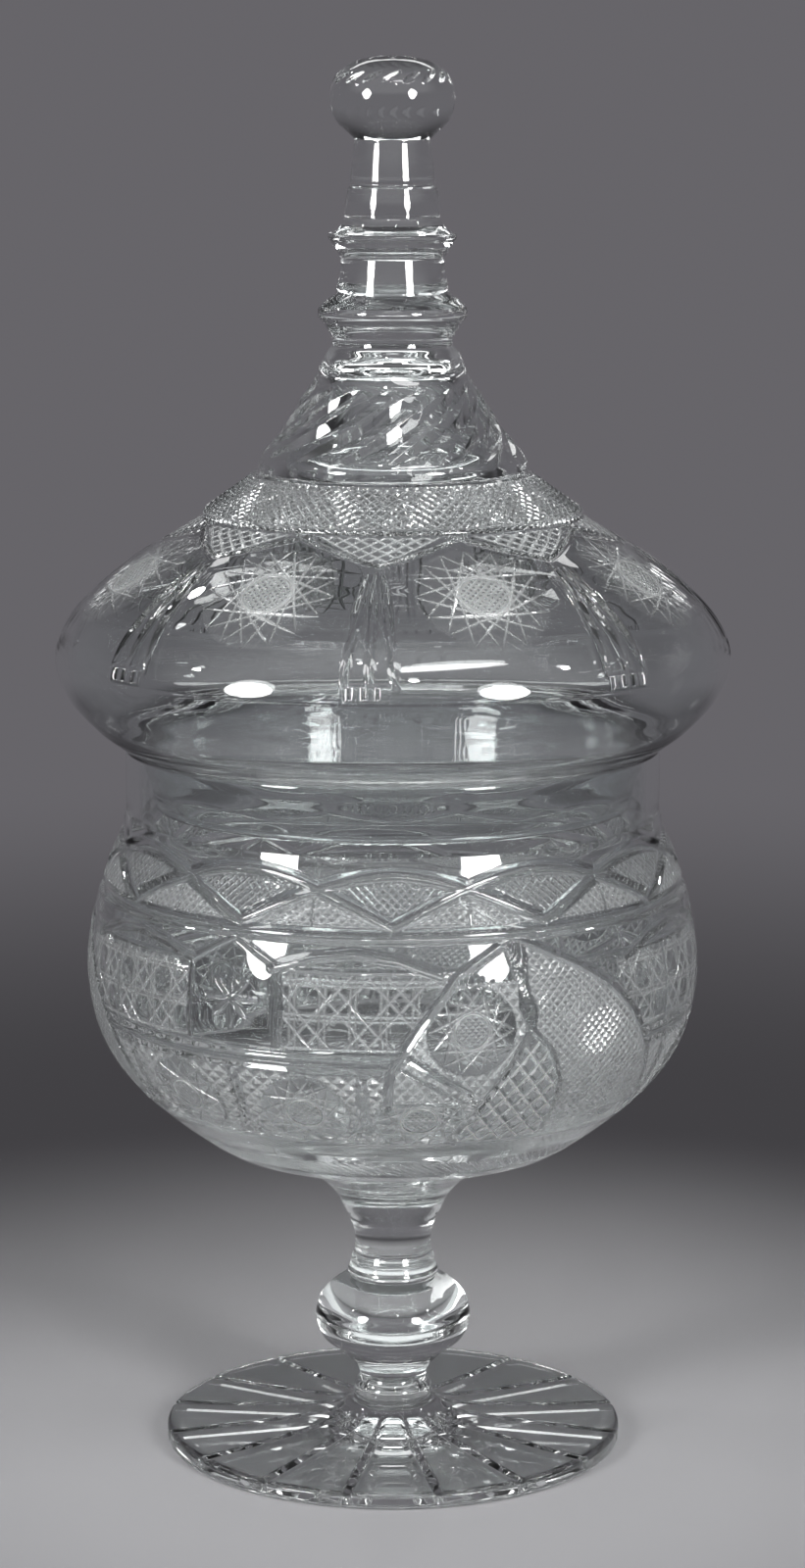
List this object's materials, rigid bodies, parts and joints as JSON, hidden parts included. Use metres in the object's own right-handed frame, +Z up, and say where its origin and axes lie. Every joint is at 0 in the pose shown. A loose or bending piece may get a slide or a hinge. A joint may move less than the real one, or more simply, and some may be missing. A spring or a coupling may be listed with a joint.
{
  "type": "covered glass compote",
  "caption": "Footed goblet-shaped cut glass jar on a knopped stem, with a domed lift-off cover and a tall turned finial.",
  "frame": {"origin": "centre of the foot's flat underside, on the surface the jar stands on", "axes": "+Z up along the axis of stem, bowl, cover and finial; -Y is the front of the cut pattern"},
  "size_m": [0.192, 0.192, 0.3998],
  "materials": {
    "clear_glass": "fire-polished clear lead crystal",
    "cut_glass": "wheel-cut and acid-polished clear lead crystal"
  },
  "bodies": {
    "jar": {"foot": "clear_glass", "stem_ring": "clear_glass", "stem_knop": "clear_glass", "stem_collar": "clear_glass", "stem_shank": "clear_glass", "bowl": "cut_glass"},
    "cover": {"cover_dome": "cut_glass", "cover_cone": "cut_glass", "finial_lower_ring": "clear_glass", "finial_shaft": "clear_glass", "finial_upper_ring": "clear_glass", "finial_neck": "clear_glass", "finial_knob": "cut_glass"}
  },
  "joints": [
    {"name": "cover_lift", "type": "slide", "parent": "jar", "child": "cover", "axis": [0, 0, 1], "range_m": [0, 0.12]}
  ]
}
